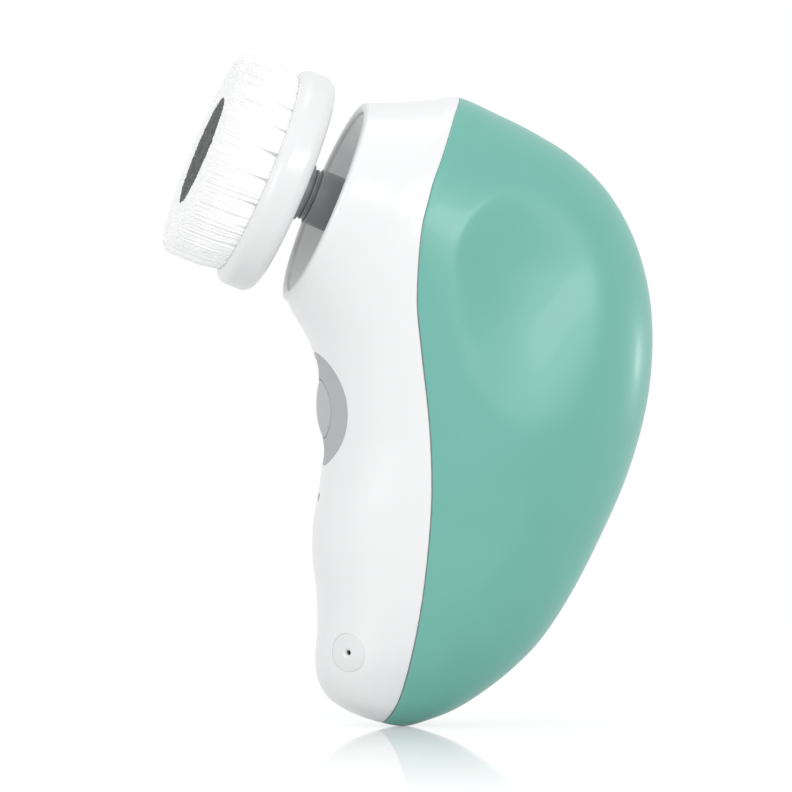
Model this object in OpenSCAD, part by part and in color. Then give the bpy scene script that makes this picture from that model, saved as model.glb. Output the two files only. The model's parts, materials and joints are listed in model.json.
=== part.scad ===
/* [Body] */
// Height of the body from its base to its crown
body_height = 120; // [114:1:128]
// Width across the palm side
body_width = 46; // [44:1:52]
// Wall of the two moulded shells
shell_wall = 2; // [1.6:0.1:2.4]
// Width of the seam between the shells
seam_gap = 0.5; // [0.3:0.1:0.8]
// Depth of the finger hollow in each side
hollow_depth = 3.6; // [0:0.2:5]

/* [Mouth] */
// Outer diameter of the round mouth behind the brush head
mouth_d = 41.2; // [40:0.2:43]
// Tilt of the brush axis above the horizontal
head_tilt = 22; // [18:1:26]
// Depth of the dish inside the mouth
dish_depth = 5; // [3.5:0.5:6]

/* [Brush head] */
// Diameter of the brush base
base_d = 43.6; // [40:0.2:45]
// Thickness of the brush base at its rim
base_t = 7.3; // [6.5:0.1:8]
// Gap between the mouth's rim plane and the brush base
head_gap = 6.3; // [5:0.1:8]
// Height of the bristles above the face that they stand on
bristle_h = 12.7; // [10:0.1:15]
// Diameter of the round patch of dark bristles
core_d = 21.6; // [18:0.2:24]

/* [Drive] */
// Diameter of the grey drive hub
hub_d = 10.8; // [10:0.1:11.4]
// Diameter of the steel drive shaft
shaft_d = 3; // [2.6:0.1:3.4]
// Length of the keyed spigot in the brush base
spigot_l = 5.2; // [4.6:0.1:5.6]
// Gear module, the pitch diameter for each tooth
gear_module = 0.5; // [0.46:0.01:0.52]
// Teeth of each pinion
pinion_teeth = 10; // [10:1:11]
// Teeth of each large gear
wheel_teeth = 30; // [28:1:30]
// Width of a gear's teeth
gear_w = 2.6; // [2.2:0.1:2.8]
// Length of the motor can
motor_l = 25; // [20:1:27]
// Diameter of the motor can
motor_d = 20; // [18:0.5:20.5]

/* [Button and light] */
// Height of the button's centre above the base
button_z = 60.5; // [58:0.5:63]
// Diameter of the button cap
button_d = 11; // [9:0.5:12]
// Diameter of the soft inlay round the button
inlay_d = 21.5; // [19:0.5:23]
// How far the button stands out of the inlay
button_rise = 1; // [0.6:0.1:1.6]
// Travel of the button
button_travel = 0.6; // [0.3:0.1:0.8]
// Height of the light above the base
light_z = 43.7; // [41:0.1:46]
// Diameter of the light pipe
light_d = 1.6; // [1.2:0.1:2]

/* [Power] */
// Diameter of the battery cell
cell_d = 14; // [13:0.1:14.6]
// Length of the battery cell
cell_l = 50; // [44:1:50]
// Diameter of the charging port's soft disc
port_d = 7.4; // [6.8:0.1:7.8]
// Diameter of the pin hole in the charging port
pin_d = 1.3; // [1:0.1:1.8]
// Depth of the pin hole
pin_l = 8; // [6:0.5:9]
// Height of the charging port above the base
port_z = 14.7; // [13:0.1:16]

/* [Hidden] */
$fn = 64;

// Half of the body's outline in its mid plane, from the mouth round to the base. Each row is one section:
// its front point, its back point, its half width and the share of its depth at which it is widest.
rise = body_height / 120;
widen = body_width / 46;
sections = [
    [-22.6, 79.3, -2.4, 118.9, 20.8, 0.50],
    [-21.8, 77.8, 4.1, 119.5, 21.2, 0.49],
    [-20.8, 76.2, 9.1, 120.0, 21.6, 0.48],
    [-19.6, 74.1, 16.6, 116.9, 22.1, 0.46],
    [-18.6, 71.7, 24.2, 113.2, 22.5, 0.45],
    [-17.8, 68.8, 31.6, 108.6, 22.8, 0.44],
    [-17.3, 65.2, 38.2, 102.2, 23.0, 0.43],
    [-17.0, 61.4, 43.3, 93.4, 23.0, 0.42],
    [-16.8, 57.0, 46.3, 83.0, 22.9, 0.42],
    [-16.6, 52.0, 47.0, 71.8, 22.5, 0.42],
    [-17.3, 45.8, 45.6, 60.0, 21.8, 0.42],
    [-18.4, 39.4, 42.1, 48.0, 20.7, 0.42],
    [-18.7, 33.0, 37.2, 36.8, 19.4, 0.42],
    [-17.9, 25.5, 31.4, 25.6, 17.6, 0.42],
    [-17.8, 18.6, 25.6, 16.8, 15.4, 0.42],
    [-18.2, 13.2, 20.2, 11.2, 13.2, 0.42],
    [-17.8, 9.2, 14.6, 6.8, 10.8, 0.44],
    [-15.8, 5.6, 8.8, 3.2, 8.2, 0.46],
    [-12.4, 3.2, 3.4, 1.1, 5.6, 0.48],
    [-9.0, 1.7, -1.2, 0.0, 3.0, 0.50],
    [-5.8, 0.7, -5.8, 0.7, 0, 0.50]
];
// The seam in the mid plane, from the crown down to the base
seam = [
    [9.1, 120], [6.2, 115.4], [3.0, 108], [-0.2, 100], [-1.9, 92], [-2.5, 81], [-1.7, 72], [-0.1, 58],
    [0.5, 46], [0.2, 36], [-0.8, 24], [-2.4, 12.6], [-3.9, 5], [-5.8, 0.7]
];
// Section where the seam begins at the crown
crown = 5;

mouth_r = mouth_d / 2;
mouth_x = -16.7;
mouth_z = 100.2 * rise;
axis_out = [-cos(head_tilt), 0, sin(head_tilt)];
axis_up = [sin(head_tilt), 0, cos(head_tilt)];

// Rounds a list of rows into a smooth curve through them, at place v counted in rows
function curve(rows, v) =
    let (n = len(rows) - 1, i = min(floor(v), n - 1), t = v - i,
         a = rows[max(i - 1, 0)], b = rows[i], c = rows[i + 1], d = rows[min(i + 2, n)])
    b + 0.5 * t * ((c - a) + t * ((2 * a - 5 * b + 4 * c - d) + t * (3 * b - a - 3 * c + d)));

// The mouth is three round sections square to the brush axis: its rim, its rounded lip and its full width
lip = [[0, 1.2], [0.4, 0.4], [1.4, 0]];
function mouth_row(depth, inset) =
    let (r = mouth_r - inset, c = [mouth_x, 0, mouth_z] - depth * axis_out,
         f = c - r * axis_up, b = c + r * axis_up)
    [f[0], f[2], b[0], b[2], r, 0.5];
rows = concat(
    [for (l = lip) mouth_row(l[0], l[1])],
    [for (s = sections) [s[0], s[1] * rise, s[2], s[3] * rise, s[4] * widen, s[5]]]
);
last = len(rows) - 1;
seam_rows = [for (p = seam) [p[0], p[1] * rise]];

// The finger hollow is an oval, deepest in its middle
hollow_c = [20.5, 76 * rise];
hollow_r = [19.5, 33];
function hollow(x, z) =
    let (u = (x - hollow_c[0]) / hollow_r[0], w = (z - hollow_c[1]) / hollow_r[1], q = u * u + w * w)
    q < 1 ? hollow_depth * pow(1 - q, 2) : 0;

// A point of the body's skin in section v, at angle q round it from the front point
function skin(v, q) =
    let (s = curve(rows, v), a = q > 180 ? 360 - q : abs(q), m = s[5],
         c = a < 90 ? m * (1 - cos(a)) : m - (1 - m) * cos(a),
         x = s[0] + c * (s[2] - s[0]), z = s[1] + c * (s[3] - s[1]))
    [x, sin(q) * (s[4] - hollow(x, z)), z];

// The skin's outward direction, and a point a distance off the skin along it
step = 0.02;
function outward(v, q) =
    let (w = min(v, last - step), r = min(max(w, step), last - 2 * step),
         n = cross(skin(r, q + 1) - skin(r, q - 1), skin(r + step, q) - skin(r - step, q)))
    n / norm(n);
function pole_out() =
    let (around = [for (q = [0:30:330]) outward(last - 0.5, q)], sum = [for (p = around) 1] * around)
    sum / norm(sum);
function off_skin(v, q, d) = skin(v, q) + d * (v > last - step ? pole_out() : outward(v, q));

// The angle at which the seam crosses section v: the side test walks down the seam by halves
function seam_side(s, u) =
    let (p = curve(seam_rows, u)) (s[2] - s[0]) * (p[1] - s[1]) - (s[3] - s[1]) * (p[0] - s[0]);
function seam_place(s, lo, hi, n) =
    let (mid = (lo + hi) / 2)
    n == 0 ? mid : seam_side(s, mid) > 0 ? seam_place(s, mid, hi, n - 1) : seam_place(s, lo, mid, n - 1);
function seam_angle(v, shift = 0) =
    v <= crown ? 180 : v >= last ? 90 :
    let (s = curve(rows, v), p = curve(seam_rows, seam_place(s, 0, len(seam_rows) - 1, 20)),
         depth = norm([s[2] - s[0], s[3] - s[1]]),
         c = norm([p[0] - s[0], p[1] - s[1]]) / depth + shift / depth, m = s[5])
    c >= 1 ? 180 : c < m ? acos(1 - c / m) : acos((m - c) / (1 - m));

// The section whose chord passes through place u of the seam
function section_at(u, lo = crown, hi = last, n = 24) =
    let (mid = (lo + hi) / 2)
    n == 0 ? mid :
    seam_side(curve(rows, mid), u) > 0 ? section_at(u, lo, mid, n - 1) : section_at(u, mid, hi, n - 1);

// A closed sheet that follows the skin: rows at the places vs, columns at the angles spokes, trimmed to
// lo(v) and hi(v), from the distance top to the distance under off the skin. Its under side starts lead
// rows in, and a column within snap degrees of an edge gives way to it.
snap = 2;
module sheet(vs, spokes, lo, hi, top, under, lead = 0) {
    n = len(vs);
    width = len(spokes);
    from = [for (v = vs) lo(v)];
    to = [for (v = vs) hi(v)];
    first = [for (i = [0:n - 1]) max(0, len([for (s = spokes) if (s <= from[i] + snap) s]) - 1)];
    final = [for (i = [0:n - 1]) width - max(1, len([for (s = spokes) if (s >= to[i] - snap) s]))];
    round_row = [for (i = [0:n - 1]) to[i] - from[i] > 359.99];
    one_point = [for (i = [0:n - 1]) vs[i] >= last || to[i] - from[i] < 0.01];
    function angle(i, k) = k <= first[i] ? from[i] : k >= final[i] ? to[i] : spokes[k];
    points = [for (d = [top, under], i = [0:n - 1], k = [0:width - 1]) off_skin(vs[i], angle(i, k), d)];
    function column(i, k) =
        one_point[i] || (round_row[i] && k >= final[i]) ? first[i] : min(max(k, first[i]), final[i]);
    function at(layer, i, k) =
        let (row = layer == 1 ? max(i, lead) : i) (layer * n + row) * width + column(row, k);
    function split(a, b, c, d) =
        [for (t = [[a, c, b], [a, d, c]]) if (t[0] != t[1] && t[1] != t[2] && t[0] != t[2]) t];
    skins = [for (i = [0:n - 2], k = [0:width - 2]) each concat(
        split(at(0, i, k), at(0, i, k + 1), at(0, i + 1, k + 1), at(0, i + 1, k)),
        split(at(1, i, k), at(1, i + 1, k), at(1, i + 1, k + 1), at(1, i, k + 1)))];
    sides = [for (i = [0:n - 2]) if (!(round_row[i] && round_row[i + 1])) each concat(
        split(at(0, i, 0), at(0, i + 1, 0), at(1, i + 1, 0), at(1, i, 0)),
        split(at(0, i, width), at(1, i, width), at(1, i + 1, width), at(0, i + 1, width)))];
    ends = [for (k = [0:width - 2]) each concat(
        split(at(0, 0, k), at(1, 0, k), at(1, 0, k + 1), at(0, 0, k + 1)),
        split(at(0, n - 1, k), at(0, n - 1, k + 1), at(1, n - 1, k + 1), at(1, n - 1, k)))];
    polyhedron(points, concat(skins, sides, ends), convexity = 6);
}

// Rows of the shells, closer at the lip and where the seam leaves the crown
mouth_rows = [0, 0.5, 1, 1.5, 2, 2.5, 3, 3.5, 4, 4.5];
lip_rows = 4;
seam_rows_list = concat(
    [crown],
    [for (u = [0.5:0.25:2.75]) section_at(u)],
    [for (v = [crown + 1:0.5:last]) v]);
front_spokes = [each [-180:15:-90], each [-80:10:80], each [90:15:180]];
back_spokes = [each [60:10:300]];

// The back shell starts and ends where the gap beside the seam closes over its edge
function gap_closes(shift, shut, open, n = 24) =
    let (mid = (shut + open) / 2)
    n == 0 ? shut :
    seam_angle(mid, shift) < 180 ? gap_closes(shift, shut, mid, n - 1) : gap_closes(shift, mid, open, n - 1);
function foot_closes(shift) = gap_closes(shift, last, last - 1);
back_top = gap_closes(seam_gap, crown, crown + 1);
back_foot = foot_closes(seam_gap);
inner_rows = [for (v = seam_rows_list) if (v > back_top + 0.0002 && v < back_foot - 0.01) v];

module front_sheet() sheet(concat(mouth_rows, seam_rows_list), front_spokes,
    function(v) -seam_angle(v), function(v) seam_angle(v), 0, -shell_wall, lip_rows);

// Frames for the children: the brush axis with +Z out of the mouth and +X up, and an axis square to the skin
module on_axis(z = 0)
    translate([mouth_x, 0, mouth_z]) rotate([0, head_tilt - 90, 0]) translate([0, 0, z]) children();
module on_front(z) translate([front_x(z), 0, z]) rotate([0, -90, 0]) children();

// How far a cutter runs past a face, how far joined solids lap, a snug fit and a screw's free fit
cut = 1;
lap = 0.1;
snug = 0.05;
screw_gap = 0.15;
module rod(r, z0, z1) translate([0, 0, z0]) cylinder(r = r, h = z1 - z0);
module tube(outer, inner, z0, z1) difference() {
    rod(outer, z0, z1);
    rod(inner, z0 - cut, z1 + cut);
}

// The section whose front point is at a height, and that point's place
function section_of(z, lo = 0, hi = last - 1, n = 24) =
    let (mid = (lo + hi) / 2)
    n == 0 ? mid : curve(rows, mid)[1] > z ? section_of(z, mid, hi, n - 1) : section_of(z, lo, mid, n - 1);
function front_x(z) = curve(rows, section_of(z))[0];

// Dish and boss inside the mouth: one profile turned round the brush axis
rim_r = mouth_r - shell_wall - 0.4;
rim_z = -0.9;
boss_r = 10;
boss_back = -(dish_depth + 5.4);
dish_t = 2.2;
seal_r = 7.4;
seal_z = -(dish_depth + 2.6);
hub_r = hub_d / 2;
hub_gap = 0.3;
floor_r = 8;
function dish_z(r) = rim_z - (dish_depth + rim_z) * cos(90 * (r - floor_r) / (rim_r - floor_r));
dish_steps = [for (t = [0:0.2:1]) rim_r + t * (floor_r - rim_r)];
wall_mid = mouth_r - shell_wall / 2;
module mouth_dish() on_axis() rotate_extrude() polygon(concat(
    [[wall_mid, rim_z], [wall_mid, rim_z - dish_t - 1]],
    [for (r = dish_steps) if (r > boss_r) [r, dish_z(r) - dish_t]],
    [[boss_r, -dish_depth - dish_t], [boss_r, boss_back], [seal_r, boss_back], [seal_r, seal_z],
     [hub_r + hub_gap, seal_z], [hub_r + hub_gap, -dish_depth]],
    [for (i = [len(dish_steps) - 1:-1:0]) [dish_steps[i], dish_z(dish_steps[i])]]));

// Gear train: motor, idler and output lie on two parallel axes
addendum = 0.9;
dedendum = 1.25;
idler_x = gear_module * (pinion_teeth + wheel_teeth) / 2;
wheel_tip = gear_module * (wheel_teeth / 2 + addendum);
mesh_gap = 0.6;
cover_z = boss_back - 0.2;
cover_t = 1.6;
output_z = cover_z - cover_t - mesh_gap;
clip_z = output_z - gear_w - 0.2;
clip_t = 0.5;
shaft_end = clip_z - clip_t - 0.3;
first_z = shaft_end - mesh_gap;
frame_z = first_z - gear_w - 2 * mesh_gap;
frame_t = 1.5;
idler_z = frame_z + mesh_gap;
motor_z = frame_z - frame_t;
case_wall = 1.3;

// Involute flank: how far round the pitch circle a tooth's side lies at radius r
pressure_angle = 25;
backlash = 0.05;
function toward(a) = [cos(a), sin(a)];
function inv(a) = tan(a) * 180 / PI - a;
function flank(teeth, r) =
    let (pitch = gear_module * teeth / 2, base = pitch * cos(pressure_angle),
         slack = backlash / pitch * 180 / PI)
    90 / teeth - slack + inv(pressure_angle) - inv(acos(min(1, base / max(r, base))));
module gear(teeth, width, bore) {
    pitch = gear_module * teeth / 2;
    base = pitch * cos(pressure_angle);
    root = pitch - dedendum * gear_module;
    tip = pitch + addendum * gear_module;
    low = max(base, root);
    sides = [for (k = [0:4]) low + (tip - low) * k / 4];
    difference() {
        linear_extrude(width) polygon([for (i = [0:teeth - 1]) let (mid = i * 360 / teeth) each concat(
            [root * toward(mid - flank(teeth, low))],
            [for (r = sides) r * toward(mid - flank(teeth, r))],
            [for (k = [4:-1:0]) sides[k] * toward(mid + flank(teeth, sides[k]))],
            [root * toward(mid + flank(teeth, low))])]);
        rod(bore, -cut, width + cut);
    }
}

// Button, light and port: where their axes leave the skin
button_r = button_d / 2;
inlay_r = inlay_d / 2;
inlay_t = 1.2;
button_gap = 0.25;
ledge = 2;
stem_z = -4.6;
stem_r = 1.6;
spare_travel = 0.2;
switch_z = stem_z - button_travel - spare_travel;
switch_h = 2.2;
switch_w = 6;
switch_floor = 0.4;
board_z = switch_z - switch_h;
board_x = front_x(button_z) - board_z;
board_t = 1.6;
port_v = section_of(port_z * rise);
port_q = -43;
port_p = off_skin(port_v, port_q, 0);
port_n = outward(port_v, port_q);
port_yaw = atan2(port_n[1], port_n[0]);
port_pitch = acos(port_n[2]);
port_t = 1.2;
jack_r = 2.4;
jack_l = pin_l + 1.2;
module on_port(z = 0) translate(port_p) rotate([0, port_pitch, port_yaw]) translate([0, 0, z]) children();

// Chassis: a plate behind the board, screwed to posts that stand on the front shell
chassis_x = -1.9;
chassis_t = 1.5;
chassis_z = 20 * rise;
chassis_h = 52;
shelf_t = 1.5;
post_r = 2.6;
pilot_r = 0.8;
pilot_l = 6;
post_y = 11;
post_heights = [chassis_z + 11, chassis_z + chassis_h - 5];
post_places = [for (z = post_heights, side = [-1, 1]) [side * post_y, z]];
cell_r = cell_d / 2;
cell_x = chassis_x + chassis_t + cell_r + 1.2;
cell_z = chassis_z + shelf_t;

screw_r = 0.8;
screw_head_r = 1.6;
screw_head_t = 1;
mount_r = 15;
mount_places = [for (a = [100, 180, 260]) mount_r * [cos(a), sin(a)]];
mount_post_r = 2.2;

module front_shell() color("white") difference() {
    union() {
        front_sheet();
        mouth_dish();
        for (p = mount_places) on_axis() translate([p[0], p[1], 0])
            rod(mount_post_r, cover_z, dish_z(mount_r - mount_post_r) - 0.3);
        for (z = post_heights) chassis_posts(z);
        on_port() rod(jack_r + 1.2, -jack_l * 0.7, -shell_wall / 2);
    }
    for (p = mount_places) on_axis() translate([p[0], p[1], 0]) rod(pilot_r, cover_z - cut, cover_z + 5);
    for (p = post_places) translate([chassis_x, p[0], p[1]]) rotate([0, -90, 0]) rod(pilot_r, -cut, pilot_l);
    intersection() {
        inlay_patch(1.5, -inlay_t);
        on_front(button_z) rod(inlay_r, -8, 3);
    }
    on_front(button_z) rod(inlay_r - ledge, -8, 3);
    on_front(light_z) rod(light_d / 2, -4, 3);
    on_port() rod(port_d / 2, -port_t, 3);
    on_port() rod(jack_r, -jack_l, 0);
}
// A pair of posts, trimmed in the middle of the shell's wall
module chassis_posts(z) difference() {
    for (side = [-1, 1]) translate([chassis_x, side * post_y, z]) rotate([0, -90, 0]) rod(post_r, 0, 14);
    sheet([for (t = [-1:0.5:1]) section_of(z - t * 6)], [each [-75:15:75]],
        function(v) -75, function(v) 75, 8, -shell_wall / 2);
}

module inlay_patch(top, under) sheet(
    [for (t = [-1:0.25:1]) section_of(button_z - t * (inlay_r + 1.5))], [each [-45:7.5:45]],
    function(v) -45, function(v) 45, top, under);

module back_shell() color("mediumaquamarine") sheet(concat(back_top, inner_rows, back_foot), back_spokes,
    function(v) seam_angle(v, seam_gap), function(v) 360 - seam_angle(v, seam_gap), 0, -shell_wall);

// A bar through sections of as many points each, its second half split as the mirror of its first
module bar_of(loops) {
    n = len(loops);
    m = len(loops[0]);
    faces = [for (i = [0:n - 2], k = [0:m - 1])
        let (a = i * m + k, b = i * m + (k + 1) % m, c = (i + 1) * m + (k + 1) % m, d = (i + 1) * m + k)
        each i < (n - 1) / 2 ? [[a, c, b], [a, d, c]] : [[a, d, b], [b, d, c]]];
    caps = [[for (k = [0:m - 1]) k], [for (k = [1:m]) n * m - k]];
    polyhedron([for (l = loops) each l], concat(faces, caps), convexity = 6);
}

// The gasket fills the seam below a narrow shadow line, a hair clear of both shells. It runs down one
// side, round the base and up the other; over the crown the seam narrows and the shells close on each other.
gasket_sink = 0.4;
gasket_fit = 0.08;
gasket_far = seam_gap - gasket_fit;
gasket_rows = [for (v = inner_rows) if (v > section_at(1)) v];
function gasket_section(front_v, front_q, back_v, back_q) = [
    off_skin(front_v, front_q, -gasket_sink), off_skin(back_v, back_q, -gasket_sink),
    off_skin(back_v, back_q, -shell_wall), off_skin(front_v, front_q, -shell_wall)];
function gasket_leg(v, side) =
    gasket_section(v, side * seam_angle(v, gasket_fit), v, side * seam_angle(v, gasket_far));
gasket_foot = gasket_section(foot_closes(gasket_fit), 180, foot_closes(gasket_far), 180);
module shell_gasket() color("dimgray") bar_of(concat(
    [for (v = gasket_rows) gasket_leg(v, 1)],
    [gasket_foot],
    [for (i = [len(gasket_rows) - 1:-1:0]) gasket_leg(gasket_rows[i], -1)]));

// Seal, bush and gearbox
module shaft_seal() color("black") on_axis() difference() {
    rod(seal_r, boss_back + 2.6, seal_z);
    rod(hub_r + snug, seal_z - 1.2, seal_z + cut);
    rod(hub_r + 0.9, boss_back, seal_z - 0.9);
}
bush_r = 3.2;
bush_z = cover_z + 2.4;
running = 0.03;
shaft_r = shaft_d / 2;
module shaft_bush() color("peru") on_axis() tube(bush_r, shaft_r + running, cover_z - cover_t, bush_z);

module case_outline(extra) {
    circle(r = wheel_tip + case_wall + mesh_gap + extra);
    translate([idler_x, 0]) circle(r = wheel_tip + case_wall + mesh_gap + extra);
}
module gearbox_cover() color("gainsboro") on_axis() difference() {
    union() {
        translate([0, 0, cover_z - cover_t]) linear_extrude(cover_t) {
            case_outline(0);
            for (p = mount_places) translate(p) circle(r = mount_post_r + 0.4);
            for (p = mount_places) rotate(atan2(p[1], p[0])) translate([0, -mount_post_r])
                square([mount_r, 2 * mount_post_r]);
        }
        rod(bush_r + 1.2, cover_z - 0.1, bush_z);
    }
    rod(bush_r, cover_z - cover_t - cut, bush_z + cut);
    translate([idler_x, 0, 0]) rod(pin_r, cover_z - cover_t - cut, cover_z - pin_seat);
    for (p = mount_places) translate([p[0], p[1], 0])
        rod(screw_r + screw_gap, cover_z - cover_t - cut, cover_z + cut);
}
pin_r = 0.75;
pin_seat = 0.4;
seat_l = 4;
motor_r = motor_d / 2;
module gearbox_frame() color("gainsboro") on_axis() difference() {
    union() {
        translate([0, 0, motor_z]) linear_extrude(cover_z - cover_t - motor_z) case_outline(0);
        rod(motor_r + case_wall, motor_z - seat_l, motor_z + frame_t);
    }
    translate([0, 0, frame_z]) linear_extrude(cover_z - frame_z) case_outline(-case_wall);
    rod(motor_r, motor_z - seat_l - cut, motor_z);
    rod(motor_nose_r, motor_z - cut, frame_z + cut);
    translate([idler_x, 0, 0]) rod(pin_r, motor_z + pin_seat, frame_z + cut);
}
module gearbox_screws() color("silver") on_axis() for (p = mount_places) translate([p[0], p[1], 0]) {
    rod(screw_r, cover_z - cover_t - lap, cover_z + 4.6);
    rod(screw_head_r, cover_z - cover_t - screw_head_t, cover_z - cover_t);
}
module idler_pin() color("silver") on_axis() translate([idler_x, 0, 0])
    rod(pin_r, motor_z + pin_seat, cover_z - pin_seat);

// Motor
motor_nose_r = 3;
motor_flat = motor_d * 0.77;
cap_t = 1.8;
cap_inset = 0.4;
tab_w = 1.6;
tab_t = 0.4;
tab_l = 2.4;
tab_y = 5;
rotor_r = 1;
motor_back = motor_z - motor_l;
module flat_sided(r, flat, z0, z1) intersection() {
    rod(r, z0, z1);
    translate([-2 * r, -flat / 2, z0]) cube([4 * r, flat, z1 - z0]);
}
module motor_can() color("silver") on_axis() difference() {
    union() {
        flat_sided(motor_r, motor_flat, motor_back, motor_z);
        rod(motor_nose_r, motor_z - lap, frame_z);
    }
    rod(rotor_r + running, motor_back - cut, frame_z + cut);
}
module motor_end_cap() color("dimgray") on_axis() {
    difference() {
        flat_sided(motor_r - cap_inset, motor_flat - 2 * cap_inset, motor_back - cap_t, motor_back);
        rod(rotor_r + running, motor_back - cap_t - cut, motor_back + cut);
    }
    for (side = [-1, 1]) translate([-tab_w / 2, side * tab_y - tab_t / 2, motor_back - cap_t - tab_l])
        cube([tab_w, tab_t, tab_l + lap]);
}
module motor_shaft() color("silver") on_axis() rod(rotor_r, motor_back - cap_t, first_z - lap);
module motor_pinion() color("goldenrod") on_axis(idler_z) gear(pinion_teeth, gear_w, rotor_r);

// Idler: a large wheel and a pinion in one moulding
module compound_gear() color("ivory") on_axis() translate([idler_x, 0, 0]) {
    translate([0, 0, idler_z]) rotate(180 / wheel_teeth) gear(wheel_teeth, gear_w, pin_r + running);
    translate([0, 0, idler_z + gear_w]) rotate(180 / pinion_teeth)
        gear(pinion_teeth, output_z + mesh_gap / 2 - idler_z - gear_w, pin_r + running);
}

// Output: a grey hub in the mouth, a steel shaft, and the last gear
flange_t = 1.8;
groove_t = 1.5;
groove_d = 1;
tooth_t = 0.4;
tooth_drop = 0.4;
tooth_z = head_gap - flange_t - (groove_t + tooth_t) / 2;
spigot_r = 3.4;
spigot_flat = 5.4;
hub_back = bush_z + 0.6;
shaft_top = head_gap - 1;
clip_bite = 0.3;
module drive_hub() color("gray") on_axis() difference() {
    union() {
        rod(hub_r, hub_back + 1.8, head_gap - flange_t - groove_t);
        rod(hub_r - 1, hub_back, hub_back + 1.9);
        rod(hub_r - groove_d, 0, head_gap);
        rod(hub_r - tooth_drop, tooth_z, tooth_z + tooth_t);
        rod(hub_r + 0.15, head_gap - flange_t, head_gap);
        flat_sided(spigot_r, spigot_flat, head_gap - lap, head_gap + spigot_l);
    }
    rod(shaft_r, hub_back - cut, shaft_top);
}
module drive_shaft() color("silver") on_axis() difference() {
    rod(shaft_r, shaft_end, shaft_top);
    tube(shaft_r + cut, shaft_r - clip_bite, clip_z - clip_t, clip_z);
}
module thrust_washer() color("ivory") on_axis() tube(bush_r, shaft_r, bush_z + 0.02, hub_back);
module output_gear() color("ivory") on_axis() {
    translate([0, 0, output_z - gear_w]) gear(wheel_teeth, gear_w, shaft_r);
}
module retaining_clip() color("silver") on_axis() difference() {
    tube(shaft_r + 0.9, shaft_r - clip_bite, clip_z - clip_t, clip_z);
    translate([0, -0.5, clip_z - clip_t - cut]) cube([shaft_r + 2, 1, clip_t + 2 * cut]);
}

// Button with its soft inlay, and the switch behind it
module button_surround() color("darkgray") difference() {
    intersection() {
        inlay_patch(0, -inlay_t);
        on_front(button_z) rod(inlay_r - 0.02, -8, 3);
    }
    on_front(button_z) rod(button_r + button_gap, -9, 4);
}
module power_button() color("gray") on_front(button_z) {
    crown_r = (button_r * button_r + button_rise * button_rise) / (2 * button_rise);
    intersection() {
        rod(button_r, -2.6, 3);
        translate([0, 0, button_rise - crown_r]) sphere(r = crown_r, $fn = 96);
    }
    rod(button_r + 0.9, -3.5, -2.5);
    rod(stem_r, stem_z, -3.4);
}
plunger_r = 1.7;
module switch_plunger() color("black") on_front(button_z)
    rod(plunger_r, board_z + switch_floor + button_travel + spare_travel, stem_z);
module tactile_switch() color("silver") on_front(button_z) difference() {
    translate([-switch_w / 2, -switch_w / 2, board_z]) cube([switch_w, switch_w, switch_h]);
    rod(plunger_r + snug, board_z + switch_floor, switch_z + cut);
}

board_w = 16.4;
board_low = light_z - 6;
board_high = chassis_z + chassis_h;
module circuit_board() color("seagreen") translate([board_x, -board_w / 2, board_low])
    cube([board_t, board_w, board_high - board_low]);
led_t = 1.6;
pipe_proud = 0.1;
module status_led() color("ivory") translate([board_x - led_t, -1.4, light_z - 0.8]) cube([led_t, 2.8, 1.6]);
module light_pipe() color("aliceblue") on_front(light_z)
    rod(light_d / 2, front_x(light_z) - board_x + led_t, pipe_proud);

cradle_t = 1.5;
cradle_h = 4;
shelf_w = 11;
chassis_outline = [[9.5, 0], [13.4, 10], [13.4, chassis_h], [-13.4, chassis_h], [-13.4, 10], [-9.5, 0]];
module chassis() color("whitesmoke") difference() {
    union() {
        translate([chassis_x, 0, chassis_z]) rotate([90, 0, 90])
            linear_extrude(chassis_t) polygon(chassis_outline);
        for (z = [chassis_z + 9, chassis_z + chassis_h - 15]) translate([chassis_x, -cell_r - cradle_t, z])
            cube([cell_x - chassis_x, cell_d + 2 * cradle_t, cradle_h]);
        translate([chassis_x, -shelf_w / 2, chassis_z]) cube([cell_x - chassis_x + 3, shelf_w, shelf_t]);
        for (z = [board_low + 2, board_high - 5], side = [-1, 1])
            translate([board_x + board_t, side * 6.5 - 1, z])
                cube([chassis_x - board_x - board_t + lap, 2, 3]);
    }
    translate([cell_x, 0, cell_z]) cylinder(r = cell_r, h = cell_l + 10);
    for (p = post_places) translate([chassis_x, p[0], p[1]]) rotate([0, 90, 0])
        rod(screw_r + screw_gap, -cut, chassis_t + cut);
}
module battery_cell() color("steelblue") translate([cell_x, 0, cell_z]) {
    cylinder(r = cell_r, h = cell_l - 1);
    cylinder(r = 2.6, h = cell_l);
}
module chassis_screws() color("silver") for (p = post_places)
    translate([chassis_x + chassis_t, p[0], p[1]]) rotate([0, 90, 0]) {
        rod(screw_head_r, 0, screw_head_t);
        rod(screw_r, -chassis_t - 5, lap);
    }

module charge_port_seal() color("white") on_port() difference() {
    union() {
        rod(port_d / 2 - snug, -port_t, -0.25);
        tube(port_d / 2 - snug, port_d / 2 - 0.7, -0.3, 0);
    }
    rod(pin_d / 2, -port_t - cut, cut);
}
module charge_jack() color("silver") on_port() difference() {
    rod(jack_r - snug, -jack_l, -port_t);
    rod(pin_d / 2, -pin_l, cut);
}

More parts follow.
